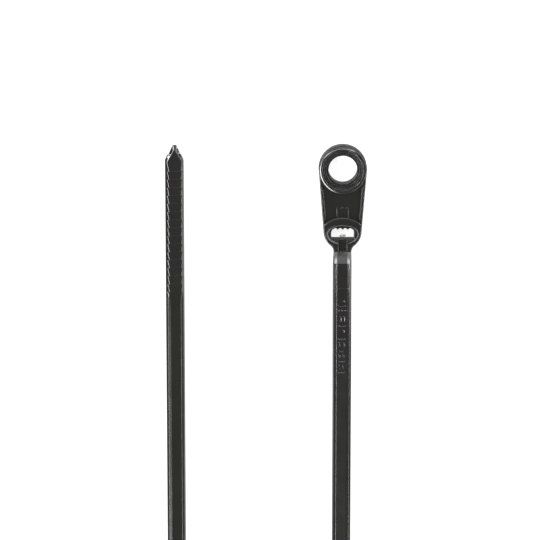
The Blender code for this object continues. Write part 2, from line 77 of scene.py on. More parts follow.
def route_place(points):
    """From the straight, as-moulded tie (ring at the origin, strap along -Y, up +Z) to how it lies.

    The middle line runs down one leg, round a half circle and up the other leg. Its sides turn by the lean
    angle: none at the head, then each leg's own lean, and a right angle in the bend. It is lifted by half its
    width times the lean's sine and half its thickness times the cosine, so its lowest edge touches the floor.
    Over the last stretch the tip rises by the square of the way along it.
    """
    station = -points[..., 1]
    turn = np.clip((station - HEAD_LEG) / BEND_RADIUS, 0.0, math.pi)
    level = np.zeros_like(turn)
    middle_line = np.stack(
        [
            BEND_RADIUS * np.cos(turn),
            -np.minimum(station, HEAD_LEG) - BEND_RADIUS * np.sin(turn) + np.maximum(station - BEND_END, 0.0),
            level,
        ],
        axis=-1,
    )
    outward = np.stack([np.cos(turn), -np.sin(turn), level], axis=-1)
    into = smooth((station - HEAD_LEG - TWIST_INTO_BEND) / TWIST_LENGTH + 1.0)
    out_of = smooth((BEND_END - TWIST_INTO_BEND - station) / TWIST_LENGTH + 1.0)
    head_leg = HEAD_LEAN * smooth((station - RAMP_END) / HEAD_FLAT_LENGTH)
    head_side = head_leg + (math.pi / 2 - head_leg) * into
    tail_side = TAIL_LEAN + (math.pi / 2 - TAIL_LEAN) * out_of
    lean = np.where(station < (HEAD_LEG + BEND_END) / 2, head_side, tail_side)
    cosine, sine = np.cos(lean)[..., None], np.sin(lean)[..., None]
    upright = np.array([0.0, 0.0, 1.0])
    across = cosine * outward + sine * upright
    upper = cosine * upright - sine * outward
    lift = STRAP_WIDTH / 2 * np.sin(lean) + STRAP_THICKNESS / 2 * np.cos(lean)
    lift = lift + TIP_LIFT * np.maximum(0.0, (station - TIP_STATION) / TIP_LIFT_LENGTH + 1.0) ** 2
    height = points[..., 2:] - STRAP_THICKNESS / 2
    return middle_line + across * points[..., :1] + upper * height + upright * lift[..., None]


# The row frame's origin in the route's frame: the web's round end touches the box of the whole moulding on
# its +X side, and the stub of the gate touches it on its +Y side
moulding_low, moulding_high = (np.array(corner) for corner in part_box("tie_moulding"))
SHIFT = np.array(
    [
        BEND_RADIUS + WEB_RADIUS - moulding_high[0],
        WEB_RADIUS + GATE_PROUD - moulding_high[1],
        -moulding_low[2],
    ]
)


def lay_down(points):
    """Points of the straight tie, at rest in the row frame."""
    return route_place(points) - SHIFT


def rounded(corners, radius, steps):
    """A closed outline with soft corners, for one outline or a stack of them.

    Each corner C becomes (1-t)^2 A + 2t(1-t) C + t^2 B, where A and B lie one radius away from it along its
    two sides, or at most 45 hundredths of the side.
    """
    before = np.roll(corners, 1, axis=-2) - corners
    after = np.roll(corners, -1, axis=-2) - corners
    before_length = np.linalg.norm(before, axis=-1, keepdims=True) + 1e-12
    after_length = np.linalg.norm(after, axis=-1, keepdims=True) + 1e-12
    radius = np.broadcast_to(np.asarray(radius, dtype=float), corners.shape[:-1])[..., None]
    a = corners + before * np.minimum(radius / before_length, 0.45)
    b = corners + after * np.minimum(radius / after_length, 0.45)
    t = np.linspace(0.0, 1.0, steps)[:, None]
    curve = (1 - t) ** 2 * a[..., None, :] + 2 * t * (1 - t) * corners[..., None, :] + t**2 * b[..., None, :]
    return curve.reshape(corners.shape[:-2] + (-1, 2))


def add_piece(name, points, faces, material, node=None):
    """A smooth object of these points and faces, whose large faces stay flat. Without a node it is new."""
    mesh = bpy.data.meshes.new(name)
    mesh.from_pydata(points.tolist(), [], faces)
    mesh.materials.append(material)
    mesh.shade_smooth()
    piece = bpy.data.objects.new(name, mesh)
    bpy.context.scene.collection.objects.link(piece)
    piece.modifiers.new("flat_faces_stay_flat", "WEIGHTED_NORMAL").mode = "FACE_AREA"
    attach(piece, "root")
    if node:
        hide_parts(node)
    return mesh


def skin(name, grid, material, node, ring):
    """A closed mesh over a grid of points: neighbours in rows and columns make one face each.

    Columns always close round on themselves. Rows do too where ring is true, and otherwise each end row is
    one flat face. A negative enclosed volume, the sum of a . (b x c) / 6, turns all the faces over.
    """
    number = np.arange(grid.shape[0] * grid.shape[1]).reshape(grid.shape[:2])
    here = number if ring else number[:-1]
    there = np.roll(number, -1, axis=0) if ring else number[1:]
    here_next, there_next = np.roll(here, -1, axis=1), np.roll(there, -1, axis=1)
    quads = np.stack([here, here_next, there_next, there], axis=-1).reshape(-1, 4)
    points = grid.reshape(-1, 3)
    a, b, c, d = (points[quads[:, k]] for k in range(4))
    volume = np.sum(a * np.cross(b, c) + a * np.cross(c, d))
    faces = quads.tolist() if ring else quads.tolist() + [number[0][::-1].tolist(), number[-1].tolist()]
    if volume < 0:
        faces = [face[::-1] for face in faces]
    return add_piece(name, points, faces, material, node)


def dull_walls(mesh):
    """Upright walls of the head left the mould duller: 1 where a point's normal is level, 0 where steep."""
    facing = np.empty(len(mesh.vertices) * 3)
    mesh.vertex_normals.foreach_get("vector", facing)
    upright_share = smooth((STEEP_NORMAL - np.abs(facing[2::3])) / (STEEP_NORMAL - LEVEL_NORMAL))
    mesh.attributes.new("upright_wall", "FLOAT", "POINT").data.foreach_set("value", upright_share)


class Socket:
    """A shader socket as a number: + - * and - from a number add Math nodes."""

    def __init__(self, tree, socket):
        self.tree = tree
        self.socket = socket

    def math(self, operation, other, swapped=False):
        node = self.tree.nodes.new("ShaderNodeMath")
        node.operation = operation
        for place, value in zip((1, 0) if swapped else (0, 1), (self, other)):
            if isinstance(value, Socket):
                self.tree.links.new(value.socket, node.inputs[place])
            else:
                node.inputs[place].default_value = value
        return Socket(self.tree, node.outputs[0])

    def __add__(self, other):
        return self.math("ADD", other)

    __radd__ = __add__

    def __sub__(self, other):
        return self.math("SUBTRACT", other)

    def __rsub__(self, other):
        return self.math("SUBTRACT", other, True)

    def __mul__(self, other):
        return self.math("MULTIPLY", other)

    __rmul__ = __mul__

    def node(self, kind, output, settings=None, **values):
        """Any other node: its settings first, then its sockets, by name or as _ and their number."""
        new = self.tree.nodes.new(kind)
        for key, value in (settings or {}).items():
            setattr(new, key, value)
        for key, value in values.items():
            target = new.inputs[int(key[1:])] if key[0] == "_" else new.inputs[key]
            if isinstance(value, Socket):
                self.tree.links.new(value.socket, target)
            else:
                target.default_value = value
        return Socket(self.tree, new.outputs[output])


def new_material(name):
    """A Principled material, its shader, and its Object coordinates."""
    material = bpy.data.materials.new(name)
    material.use_nodes = True
    tree = material.node_tree
    place = tree.nodes.new("ShaderNodeTexCoord").outputs["Object"]
    return material, tree.nodes["Principled BSDF"], Socket(tree, place)


def black_nylon():
    """Moulded black nylon: a faint bloom in soft patches, a fine orange peel and small scuffs."""
    material, shader, place = new_material("black_nylon")
    patches = place.node("ShaderNodeTexNoise", 0, Vector=place, Scale=260.0, Detail=3.0, Roughness=0.55)
    grain = place.node("ShaderNodeTexNoise", 0, Vector=place, Scale=2600.0, Detail=2.0, Roughness=0.6)
    streaks_at = place.node("ShaderNodeMapping", 0, Vector=place, Scale=(1.0, 0.06, 1.0))
    streaks = place.node("ShaderNodeTexNoise", 0, Vector=streaks_at, Scale=1400.0, Detail=2.0)
    bloom = patches * 0.65 + grain * 0.35
    colour = place.node(
        "ShaderNodeMix",
        2,
        {"data_type": "RGBA"},
        Factor=bloom,
        _6=(0.0050, 0.0048, 0.0045, 1.0),
        _7=(0.0125, 0.0119, 0.0112, 1.0),
    )
    # Polished all over, a little duller in patches, grain and streaks, and much duller on upright walls
    wall = place.node("ShaderNodeAttribute", "Fac", {"attribute_name": "upright_wall"})
    roughness = 0.08 + patches * 0.07 + grain * 0.04 + streaks * 0.04 + wall * 0.6
    relief = grain * 0.6 + streaks * 0.4
    peel = place.node("ShaderNodeBump", 0, Strength=0.16, Distance=0.02 * MM, Height=relief)
    tree = place.tree
    tree.links.new(colour.socket, shader.inputs["Base Color"])
    tree.links.new(roughness.socket, shader.inputs["Roughness"])
    tree.links.new(peel.socket, shader.inputs["Normal"])
    shader.inputs["IOR"].default_value = 1.53
    shader.inputs["Specular IOR Level"].default_value = 0.9
    return material


NYLON = black_nylon()

# Down the outer side from the lip, across the underside, up the bore and out over the seat, as (radius,
# height). The web's round end is a step on the far half, which fades out just past the ring's middle. There
# it keeps a small share of its width, so that no two corners meet.
WEB_STEP_LEAST, WEB_STEP_FADE = 0.05, 0.05
ring_angle = np.linspace(0.0, 2 * math.pi, 288, endpoint=False)[:, None]
step_share = smooth(np.sin(ring_angle) / WEB_STEP_FADE + 2.0)
step_share = WEB_STEP_LEAST + (1.0 - WEB_STEP_LEAST) * step_share
step_radius = RING_RADIUS + (WEB_RADIUS - RING_RADIUS) * step_share
ring_corners = np.array(
    [
        (LIP_RADIUS, RING_HEIGHT),
        (RING_RADIUS - LIP_BEVEL, RING_HEIGHT),
        (RING_RADIUS, RING_HEIGHT - LIP_BEVEL_DROP),
        (RING_RADIUS, WEB_HEIGHT),
        (WEB_RADIUS, WEB_HEIGHT),
        (WEB_RADIUS, 0.0),
        (BORE_RADIUS, 0.0),
        (BORE_RADIUS, LEDGE_HEIGHT),
        (LEDGE_RADIUS, LEDGE_HEIGHT),
        (LEDGE_RADIUS, SEAT_HEIGHT - 2 * SEAT_RING_STEP),
        (SEAT_RING_RADIUS, SEAT_HEIGHT - 2 * SEAT_RING_STEP),
        (SEAT_RING_RADIUS, SEAT_HEIGHT - SEAT_RING_STEP),
        (LIP_RADIUS, SEAT_HEIGHT),
    ]
)
ring_corners = np.repeat(ring_corners[None], len(ring_angle), axis=0)
ring_corners[:, 4:6, 0] = step_radius
ring_softness = np.array([0.15, 0.08, 0.1, 0.05, 0.09, 0.3, 0.12, 0.12, 0.06, 0.08, 0.03, 0.03, 0.1]) * MM
ring_profile = rounded(ring_corners, ring_softness, 6)
ring_radius, ring_up = ring_profile[..., 0], ring_profile[..., 1]
# The gate's stub stands on the far side, between two heights, and eases out from 0.3 to 1.3 of its half angle
gate_side = smooth(1.3 - np.abs(ring_angle - math.pi / 2) / GATE_HALF_ANGLE)
gate_band = smooth((ring_up - GATE_LOW) / GATE_EASE) * smooth((GATE_HIGH - ring_up) / GATE_EASE)
ring_radius = ring_radius + GATE_PROUD * gate_side * gate_band * (ring_radius > RING_RADIUS)
ring_grid = np.stack([ring_radius * np.cos(ring_angle), ring_radius * np.sin(ring_angle), ring_up], axis=-1)
dull_walls(skin("screw_ring", lay_down(ring_grid), NYLON, "tie_moulding", True))

# Web
# The flat bridge between ring and slot, part of the same moulding. A rail stands along each side of a sunk
# panel, which carries a small square pad.
WEB_EDGE = 0.3 * MM
PANEL_DEPTH, PANEL_RAIL, PANEL_EASE = 0.6 * MM, 0.75 * MM, 0.1 * MM
PAD_HALF, PAD_PROUD, PAD_STATION, PAD_EASE = 1.45 * MM, 0.22 * MM, 11.3 * MM, 0.08 * MM
# It starts inside the ring's wall, stops short of the slot in the middle, and runs on beside the slot
WEB_FROM, WEB_TO, WEB_BESIDE, WEB_MIDDLE = 5.3 * MM, 14.5 * MM, 1.1 * MM, 3.1 * MM
WEB_FIRST_GUESS = 14.6 * MM
HOUSING_STATION, HOUSING_RADIUS = 15.7 * MM, 4.8 * MM
WEB_TILT = math.asin((WEB_RADIUS - HOUSING_RADIUS) / HOUSING_STATION)


def web_half_width(station):
    """The side line that touches both circles: half width = ring radius / cos(tilt) - station tan(tilt)."""
    return WEB_RADIUS / math.cos(WEB_TILT) - station * math.tan(WEB_TILT)


def soft_box(x, y, half_x, half_y, edge):
    """1 inside a rectangle round the origin and 0 outside, eased over one edge width on each side."""
    return smooth((half_x - np.abs(x)) / edge + 0.5) * smooth((half_y - np.abs(y)) / edge + 0.5)


web_along = np.linspace(0.0, 1.0, 200)[:, None]
web_rail_shares = np.linspace(0.86, 1, 12)
web_across = np.concatenate([-web_rail_shares[::-1], np.linspace(-0.85, 0.85, 150), web_rail_shares])


def web_sheet(share, upper):
    """The web's points at a share of its half width, from the ring's wall to inside the slot housing.

    The width hangs on the station and the station on the width, so they are worked out four times in turn,
    from a first guess of the web's length.
    The rounded edges fall by e - sqrt(e^2 - d^2), where d is the way past the start of the edge e.
    """
    station = web_along * WEB_FIRST_GUESS + np.zeros_like(share)
    for _ in range(4):
        x = share * web_half_width(station)
        ring_wall = np.sqrt(np.maximum(WEB_FROM**2 - x**2, 0.0))
        end = WEB_TO + WEB_BESIDE * smooth((np.abs(x) - WEB_MIDDLE) / MM)
        station = ring_wall + (end - ring_wall) * web_along
    depth = web_half_width(station) - np.abs(x)
    panel = smooth((depth - PANEL_RAIL) / PANEL_EASE + 0.5)
    pad = soft_box(x, station - PAD_STATION, PAD_HALF, PAD_HALF, PAD_EASE)
    top = WEB_HEIGHT - PANEL_DEPTH * panel + PAD_PROUD * pad
    edge = np.clip(WEB_EDGE - depth, 0.0, WEB_EDGE)
    fall = WEB_EDGE - np.sqrt(np.maximum(WEB_EDGE**2 - edge**2, 0.0))
    return np.stack([x, -station, top - fall if upper else fall], axis=-1)


web_top = web_sheet(web_across[None, :], True)
web_bottom = web_sheet(web_across[None, ::-1], False)
web_grid = np.concatenate([web_top, web_bottom], axis=1)
dull_walls(skin("web", lay_down(web_grid), NYLON, "tie_moulding", False))

# Slot housing
# The eye that the tail threads through, the thickest part of the same moulding. A round shoulder is raised
# over the web, an arched collar stands round the slot, and a shallow window is over the barb.
SHOULDER_STATION, SHOULDER_RADIUS = 18.7 * MM, 6.6 * MM
SHOULDER_HEIGHT, SHOULDER_INSET = 4.1 * MM, 0.12 * MM
COLLAR_STATION = 16.3 * MM
COLLAR_HALF_WIDTH, COLLAR_HALF_LENGTH = 4.05 * MM, 2.6 * MM
COLLAR_HEIGHT, COLLAR_EDGE, COLLAR_FOOT = 4.75 * MM, 0.45 * MM, 0.06 * MM
SLOT_START, SLOT_END = 14.7 * MM, 17.8 * MM
SLOT_HALF, SLOT_CORNER = 2.88 * MM, 1.2 * MM
RIB_RADIUS, RIB_REACH, RIB_EASE, RIB_SPREAD = 0.33 * MM, 1.25 * MM, 0.05 * MM, 0.3 * MM
LEAD_IN, LEAD_IN_DEPTH = 0.4 * MM, 0.8 * MM
NECK_WIDTH, NECK_FILLET, NECK_END = 4.5 * MM, 2.0 * MM, 20.8 * MM
WINDOW_HALF, WINDOW_FLOOR, WINDOW_EASE = 1.1 * MM, 3.2 * MM, 0.12 * MM
HOUSING_EDGE, SHOULDER_EDGE, SHOULDER_STEP, SLOT_EDGE = 0.3 * MM, 0.25 * MM, 0.06 * MM, 0.14 * MM
SLOT_CENTRE = (SLOT_START + SLOT_END) / 2


def arc_points(centre, radius, start, end, count):
    """Points on a circle: centre + radius (cos a, sin a), with a in degrees from start to end."""
    a = np.radians(np.linspace(start, end, count))
    return np.stack([centre[0] + radius * np.cos(a), centre[1] + radius * np.sin(a)], axis=-1)


def reach_at(outline, angle):
    """How far an outline lies from the slot's middle in each direction, read between its own points."""
    x, y = outline[:, 0], outline[:, 1] + SLOT_CENTRE
    bearing = np.arctan2(y, x)
    order = np.argsort(bearing)
    return np.interp(angle, bearing[order], np.hypot(x, y)[order], period=2 * math.pi)


def both_sides(right):
    """A closed outline from its right half."""
    return np.concatenate([right, (right * (-1, 1))[::-1]])


def dense(outline):
    """The same closed outline with 60 points on each straight side."""
    t = np.linspace(0.0, 1.0, 60, endpoint=False)[None, :, None]
    return (outline[:, None] * (1 - t) + np.roll(outline, -1, axis=0)[:, None] * t).reshape(-1, 2)


def housing_outline(inset):
    """Round body with hollow fillets into the neck, and sides that touch the ring, drawn inset all round."""
    fillet_x = NECK_WIDTH / 2 + NECK_FILLET
    fall = math.sqrt((HOUSING_RADIUS + NECK_FILLET) ** 2 - fillet_x**2)
    meeting = math.degrees(math.atan2(fall, fillet_x))
    tilt = math.degrees(WEB_TILT)
    neck = arc_points((fillet_x, -HOUSING_STATION - fall), NECK_FILLET + inset, 180, 180 - meeting, 24)
    body = arc_points((0, -HOUSING_STATION), HOUSING_RADIUS - inset, -meeting, -tilt, 60)
    side = np.array([(web_half_width(0.0) - inset, 0.0)])
    return dense(both_sides(np.concatenate([neck, body, side])))


def slot_wall(grow):
    """The slot without its ribs: straight on the neck side, with round corners on the ring side."""
    half, near, far = SLOT_HALF + grow, -SLOT_START + grow, -SLOT_END
    corner = arc_points((half - SLOT_CORNER, near - SLOT_CORNER), SLOT_CORNER, 0, 90, 24)
    return dense(both_sides(np.concatenate([[(half, far)], corner])))


def with_ribs(x, y, grow):
    """Guide ribs on the ring side: each lowers the wall by sqrt(r^2 - d^2), d being the way to its middle."""
    ribs = sum(
        np.sqrt(np.maximum(RIB_RADIUS**2 - (x - middle) ** 2, 0.0)) for middle in (-RIB_REACH, 0.0, RIB_REACH)
    )
    return y - ribs * smooth((y + SLOT_START - grow) / RIB_EASE + 1.0)


# All rings share these directions from the slot's middle. The slot's two square corners have their own.
corner_bearings = [math.atan2(y + SLOT_CENTRE, x) for x, y in both_sides(np.array([(SLOT_HALF, -SLOT_END)]))]
bearing = np.sort(np.concatenate([np.linspace(-math.pi, math.pi, 420, endpoint=False), corner_bearings]))
shoulder_disc = arc_points((0, -SHOULDER_STATION), SHOULDER_RADIUS, 0, 360, 400)
disc_reach = reach_at(shoulder_disc, bearing)
body_reach = np.minimum(reach_at(housing_outline(0.0), bearing), disc_reach)
top_reach = np.minimum(reach_at(housing_outline(SHOULDER_INSET), bearing), disc_reach)
slot_reach = reach_at(slot_wall(0.0), bearing)
funnel_reach = reach_at(slot_wall(LEAD_IN), bearing)


def around(reach, height, ribbed=None):
    """One ring of points at the given reach from the slot's middle, with a height for all or for each."""
    x, y = reach * np.cos(bearing), reach * np.sin(bearing) - SLOT_CENTRE
    if ribbed is not None:
        y = with_ribs(x, y, ribbed)
    return np.stack([x, y, np.broadcast_to(height, x.shape)], axis=-1)


def top_height(x, y):
    """Height of the upper side: the collar's quarter round over the shoulder, less the window's depth."""
    oval = np.sqrt((x / COLLAR_HALF_WIDTH) ** 2 + ((y + COLLAR_STATION) / COLLAR_HALF_LENGTH) ** 2)
    inside = (1.0 - oval) * np.hypot(x, y + COLLAR_STATION) / np.maximum(oval, 1e-6)
    short = np.clip(COLLAR_EDGE - inside, 0.0, COLLAR_EDGE)
    crown = COLLAR_HEIGHT - COLLAR_EDGE + np.sqrt(COLLAR_EDGE**2 - short**2)
    foot = smooth(inside / COLLAR_FOOT + 1.0)
    height = SHOULDER_HEIGHT + (np.maximum(crown, SHOULDER_HEIGHT) - SHOULDER_HEIGHT) * foot
    window_middle, window_reach = (NECK_END + SLOT_CENTRE) / 2, (NECK_END - SLOT_CENTRE) / 2
    window = soft_box(x, y + window_middle, WINDOW_HALF, window_reach, WINDOW_EASE)
    return height + (WINDOW_FLOOR - height) * window


# Rings of points from the funnel's mouth, out over the underside, up the wall, over the shoulder's step and
# edge, in over the top to the slot's rim, and down the slot. Each rounded edge is a quarter circle.
quarter = np.radians(np.linspace(0, 90, 6))
housing_rings = [around(funnel_reach, 0.0, LEAD_IN), around(body_reach - HOUSING_EDGE, 0.0)]
for turn in quarter[1:]:
    out, up = HOUSING_EDGE * (1 - math.sin(turn)), HOUSING_EDGE * (1 - math.cos(turn))
    housing_rings.append(around(body_reach - out, up))
housing_rings.append(around(body_reach, WEB_HEIGHT - SHOULDER_STEP))
housing_rings.append(around((body_reach + top_reach) / 2, WEB_HEIGHT))
housing_rings.append(around(top_reach, WEB_HEIGHT + SHOULDER_STEP))
for turn in quarter:
    out, down = SHOULDER_EDGE * (1 - math.cos(turn)), SHOULDER_EDGE * (1 - math.sin(turn))
    housing_rings.append(around(top_reach - out, SHOULDER_HEIGHT - down))
top_edge_reach, rim_reach = top_reach - SHOULDER_EDGE, slot_reach + SLOT_EDGE
for share in np.linspace(0.0, 1.0, 80)[1:]:
    ring_here = around(top_edge_reach + (rim_reach - top_edge_reach) * share, 0.0)
    ribbed_y = with_ribs(ring_here[:, 0], ring_here[:, 1], RIB_SPREAD)
    ring_here[:, 1] = ring_here[:, 1] * (1 - share) + ribbed_y * share
    ring_here[:, 2] = top_height(ring_here[:, 0], ring_here[:, 1])
    housing_rings.append(ring_here)
rim_height = housing_rings[-1][:, 2]
for turn in quarter[1:]:
    out, down = SLOT_EDGE * (1 - math.sin(turn)), SLOT_EDGE * (1 - math.cos(turn))
    housing_rings.append(around(slot_reach + out, rim_height - down, 0.0))
housing_rings.append(around(slot_reach, LEAD_IN_DEPTH, 0.0))
housing_grid = np.array(housing_rings)
dull_walls(skin("slot_housing", lay_down(housing_grid), NYLON, "tie_moulding", True))

# Strap
# The long strap of the same moulding, from the neck to the pointed tail, smooth on both sides. Its upper
# side has wide bevels, finger grips near the tail, and a thin tongue that starts the tail into the slot.
NECK_START, NECK_HEIGHT, NECK_STEP = 20.85 * MM, 4.0 * MM, 0.1 * MM
RAMP_LENGTH, RAMP_HOLLOW = RAMP_END - NECK_END, 0.22
FLAT_WIDTH, CHAMFER, SIDE_HEIGHT = 2.6 * MM, 0.15 * MM, 0.5 * MM
FOOT_HEIGHT, FOOT_INSET = 1.0 * MM, 0.42 * MM
INSERT_STATION, INSERT_STEP, INSERT_EASE = 30.9 * MM, 0.04 * MM, 0.1 * MM
GRIP_COUNT, GRIP_PITCH, GRIP_FROM_TIP = 16, 2.065 * MM, 4.8 * MM
GRIP_LOW, GRIP_STEEP_RUN, GRIP_BLEND = 1.0 * MM, 0.12 * MM, 1.8 * MM
GRIP_CREST_WIDTH, GRIP_ROOT_WIDTH = 3.0 * MM, 3.65 * MM
GRIP_BEVEL, GRIP_BEVEL_DROP = 0.28 * MM, 0.18 * MM
TIP_LENGTH, NOSE_WIDTH, NOSE_LENGTH = 4.3 * MM, 0.6 * MM, 0.35 * MM
NOSE_THICKNESS, NOSE_PANEL_WIDTH = 0.4 * MM, 0.3 * MM
TONGUE_LENGTH, TONGUE_STEP, TONGUE_UNDERSIDE = 2.4 * MM, 0.15 * MM, 0.45 * MM
TONGUE_FLARE, TIP_PANEL_START = 0.4 * MM, 1.4 * MM
# At the tip, the bevel's foot keeps within this share of the width, and each corner of the tongue stays above
# the one below it by at least a hair
TIP_FOOT_SHARE, LEAST_RISE = 0.93, 0.01 * MM
GRIP_START = TIP_STATION - GRIP_FROM_TIP - GRIP_COUNT * GRIP_PITCH

# Sections lie close together on the ramp, at the insert's step, at each grip's steep side and at the tip
PLAIN_SPACING, FINE_SPACING = 0.9 * MM, 0.12 * MM
tooth_steps = np.concatenate([np.linspace(0, 0.18, 5), np.linspace(0.3, 2.0, 9)]) * MM
strap_stations = np.concatenate(
    [
        np.arange(NECK_START, RAMP_END - 0.1 * MM, FINE_SPACING),
        RAMP_END + np.array([-0.03, 0.0, 0.03, 0.15, 0.5]) * MM,
        np.arange(RAMP_END + MM, INSERT_STATION - 0.3 * MM, PLAIN_SPACING),
        np.arange(INSERT_STATION - INSERT_EASE, INSERT_STATION + INSERT_EASE, 0.02 * MM),
        np.arange(INSERT_STATION + 0.3 * MM, GRIP_START - GRIP_BLEND, PLAIN_SPACING),
        np.arange(GRIP_START - GRIP_BLEND, GRIP_START, FINE_SPACING),
        (GRIP_START + np.arange(GRIP_COUNT)[:, None] * GRIP_PITCH + tooth_steps).ravel(),
        TIP_STATION - np.arange(GRIP_FROM_TIP, 0.0, -0.06 * MM),
        [TIP_STATION],
    ]
)


def strap_corners(s):
    """Half the strap's section at each station, as corners (x, z): underside, chamfer, side, foot, flat.

    The ramp falls as 1 - n - k n (1 - n), with n from 0 to 1 along it and k its hollow. A tooth rises evenly
    over its steep run and falls evenly over the rest. The nose is a quarter circle: sqrt(1 - (1 - n)^2).
    """
    # Neck and ramp
    neck = np.clip((s - NECK_END) / RAMP_LENGTH, 0.0, 1.0)
    eased = 1.0 - neck - RAMP_HOLLOW * neck * (1.0 - neck)
    rise = (NECK_HEIGHT - STRAP_THICKNESS) * eased
    width = STRAP_WIDTH - (STRAP_WIDTH - NECK_WIDTH) * eased
    # Plain strap and grips
    blend = smooth((s - GRIP_START) / GRIP_BLEND + 1.0)
    phase = np.mod((s - GRIP_START) / GRIP_PITCH, 1.0)
    steep = GRIP_STEEP_RUN / GRIP_PITCH
    tooth = np.where(phase < steep, phase / steep, (1.0 - phase) / (1.0 - steep))
    tooth = tooth * (s > GRIP_START) * (s < TIP_STATION - GRIP_FROM_TIP)
    # The mould's marked insert starts with a fine step down, and the grips' blend takes it back up
    step = INSERT_STEP * smooth((s - INSERT_STATION) / INSERT_EASE + 0.5) * (1.0 - blend)
    low = STRAP_THICKNESS - step + (GRIP_LOW - STRAP_THICKNESS) * blend
    top = low + (STRAP_THICKNESS - GRIP_LOW) * tooth
    flat = FLAT_WIDTH + (GRIP_ROOT_WIDTH - FLAT_WIDTH) * blend - (GRIP_ROOT_WIDTH - GRIP_CREST_WIDTH) * tooth
    foot_height = FOOT_HEIGHT - step + (top - GRIP_BEVEL_DROP - FOOT_HEIGHT) * blend
    plain_foot = width - 2 * FOOT_INSET
    foot = plain_foot + (flat + 2 * GRIP_BEVEL - plain_foot) * blend
    # Pointed tip, with its thin tongue
    from_tip = TIP_STATION - s
    tip = from_tip < TIP_LENGTH
    taper = np.clip((from_tip - NOSE_LENGTH) / (TIP_LENGTH - NOSE_LENGTH), 0.0, 1.0)
    nose = np.clip(from_tip / NOSE_LENGTH, 0.0, 1.0)
    blunt = NOSE_WIDTH * (1 + np.sqrt(np.maximum(1 - (1 - nose) ** 2, 0.0)))
    side = np.where(tip, blunt + (STRAP_WIDTH - 2 * NOSE_WIDTH) * taper, width)
    opening = np.clip((from_tip - TIP_PANEL_START) / (TIP_LENGTH - TIP_PANEL_START), 0.0, 1.0)
    nose_top = TONGUE_UNDERSIDE + NOSE_THICKNESS
    flat = np.where(tip, NOSE_PANEL_WIDTH + (GRIP_ROOT_WIDTH - NOSE_PANEL_WIDTH) * opening, flat)
    foot = np.where(tip, np.minimum(side * TIP_FOOT_SHARE, flat + 2 * GRIP_BEVEL), foot)
    top = np.where(tip, nose_top + (GRIP_LOW - nose_top) * from_tip / TIP_LENGTH, top)
    tongue = smooth((TONGUE_LENGTH + TONGUE_STEP - from_tip) / TONGUE_STEP)
    base = NECK_STEP * eased + TONGUE_UNDERSIDE * tongue
    under = side + np.where(tip, np.minimum(STRAP_WIDTH - side, TONGUE_FLARE * (1 - tongue)), 0.0)
    body_side = np.maximum(SIDE_HEIGHT + rise, base + CHAMFER)
    side_height = body_side + (base + CHAMFER + LEAST_RISE - body_side) * tongue
    body_foot = np.where(tip, top - GRIP_BEVEL_DROP, foot_height + rise)
    foot_up = np.maximum(body_foot, base + CHAMFER + 2 * LEAST_RISE)
    x = np.stack([under / 2 - CHAMFER, under / 2, side / 2, foot / 2, np.minimum(flat, foot) / 2], axis=-1)
    z = np.stack([base, base + CHAMFER, side_height, foot_up, top + rise], axis=-1)
    return np.stack([x, z], axis=-1)


half_corners = strap_corners(strap_stations)
strap_outline = np.concatenate([half_corners, (half_corners * (-1, 1))[:, ::-1]], axis=1)
# The bevels' edges are sharper along the plain strap than at the grips
gripped = smooth((strap_stations - GRIP_START) / GRIP_BLEND + 1.0)[:, None]
half_softness = np.array([0.06, 0.06, 0.1, 0.06, 0.06]) * MM
half_softness = half_softness + np.array([0.0, 0.0, 0.0, 0.09, 0.09]) * MM * gripped
strap_softness = np.concatenate([half_softness, half_softness[:, ::-1]], axis=1)
strap_profile = rounded(strap_outline, strap_softness, 6)
strap_y = np.broadcast_to(-strap_stations[:, None], strap_profile.shape[:2])
strap_grid = np.stack([strap_profile[..., 0], strap_y, strap_profile[..., 1]], axis=-1)
skin("strap", lay_down(strap_grid), NYLON, "tie_moulding", False)

# Mould marks
# Low raised bars and dots on the strap's flat side near the head, cut into the mould and so part of the same
# moulding. They are plain shapes with soft edges, a tenth of a millimetre high.
MARK_PROUD, MARK_EDGE, MARK_CORNER = 0.1 * MM, 0.16 * MM, 0.09 * MM
# Each mark's station, its place across the strap, and its half length and half width
MARKS = np.array(
    [
        (34.2, 0.55, 0.25, 0.25), (35.4, 0.0, 0.22, 0.95), (36.6, -0.8, 0.22, 0.22), (36.6, 0.0, 0.22, 0.22),
        (36.6, 0.8, 0.22, 0.22), (38.8, -0.3, 0.7, 0.2), (38.8, 0.6, 0.7, 0.2), (40.6, 0.0, 0.22, 0.9),
        (42.0, 0.5, 0.4, 0.25), (44.0, 0.0, 0.22, 0.95), (45.5, -0.6, 0.7, 0.2), (45.5, 0.6, 0.7, 0.2),
        (47.2, 0.0, 0.22, 0.5), (48.5, -0.5, 0.4, 0.25), (48.5, 0.5, 0.4, 0.25), (49.8, 0.0, 0.22, 0.95),
        (51.3, 0.3, 0.6, 0.2), (51.3, -0.6, 0.6, 0.2), (52.7, 0.0, 0.22, 0.9),
    ]
) * MM
